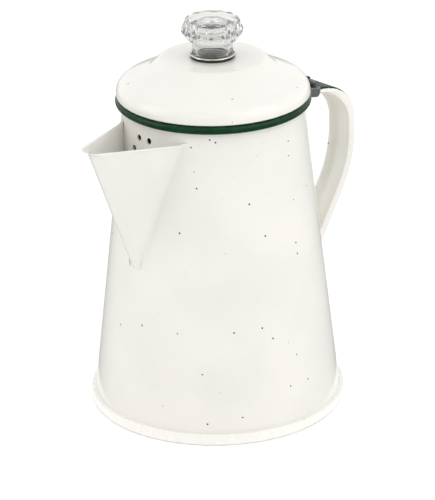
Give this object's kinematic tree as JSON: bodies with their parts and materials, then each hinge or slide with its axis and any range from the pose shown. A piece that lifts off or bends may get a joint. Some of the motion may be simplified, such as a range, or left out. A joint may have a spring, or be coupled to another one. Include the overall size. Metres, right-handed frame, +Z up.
{
  "type": "coffee percolator",
  "caption": "Conical enamelled camping coffee percolator with an open V spout, channel handle, hinged domed lid with a clear knob, and a lift-out pump and basket.",
  "frame": {"origin": "on the ground, on the pot's vertical axis, at the centre of the ring it stands on", "axes": "+Z up along the pot's axis, -X towards the spout, +X towards the handle"},
  "size_m": [0.2008, 0.1472, 0.2286],
  "materials": {
    "cream_enamel": "glossy off-white vitreous enamel with sparse fine black speckles",
    "handle_enamel": "glossy off-white vitreous enamel, dark green on the outer face",
    "green_enamel": "glossy dark green vitreous enamel",
    "stainless": "plain stainless sheet, softly brushed",
    "ferrule_steel": "polished stainless",
    "clear_knob": "clear moulded plastic",
    "pump_metal": "satin aluminium"
  },
  "bodies": {
    "pot": {"pot_wall": "cream_enamel", "rim_bead": "green_enamel", "base_pan": "cream_enamel", "spout": "cream_enamel", "handle": "handle_enamel", "hinge_bracket": "stainless", "hinge_pin": "stainless"},
    "lid": {"lid_shell": "cream_enamel", "lid_plug": "cream_enamel", "hinge_leaf": "stainless", "leaf_rivets": "stainless", "knob_collar": "ferrule_steel"},
    "knob_body": {"knob": "clear_knob"},
    "pump": {"pump_tube": "pump_metal", "pump_bell": "pump_metal", "basket_stop": "pump_metal"},
    "basket": {"basket_cup": "pump_metal", "basket_sleeve": "pump_metal"},
    "spreader_body": {"spreader": "pump_metal"}
  },
  "joints": [
    {"name": "lid_hinge", "type": "hinge", "parent": "pot", "child": "lid", "pos_m": [0.07171, 0, 0.17391], "axis": [0, 1, 0], "range_deg": [0, 110]},
    {"name": "knob_turn", "type": "hinge", "parent": "lid", "child": "knob_body", "pos_m": [0, 0, 0.207], "axis": [0, 0, 1], "range_deg": [0, 90]},
    {"name": "pump_lift", "type": "slide", "parent": "pot", "child": "pump", "axis": [0, 0, 1], "range_m": [0, 0.012]},
    {"name": "basket_lift", "type": "slide", "parent": "pump", "child": "basket", "axis": [0, 0, 1], "range_m": [0, 0.005]},
    {"name": "spreader_lift", "type": "slide", "parent": "basket", "child": "spreader_body", "axis": [0, 0, 1], "range_m": [0, 0.005]}
  ]
}
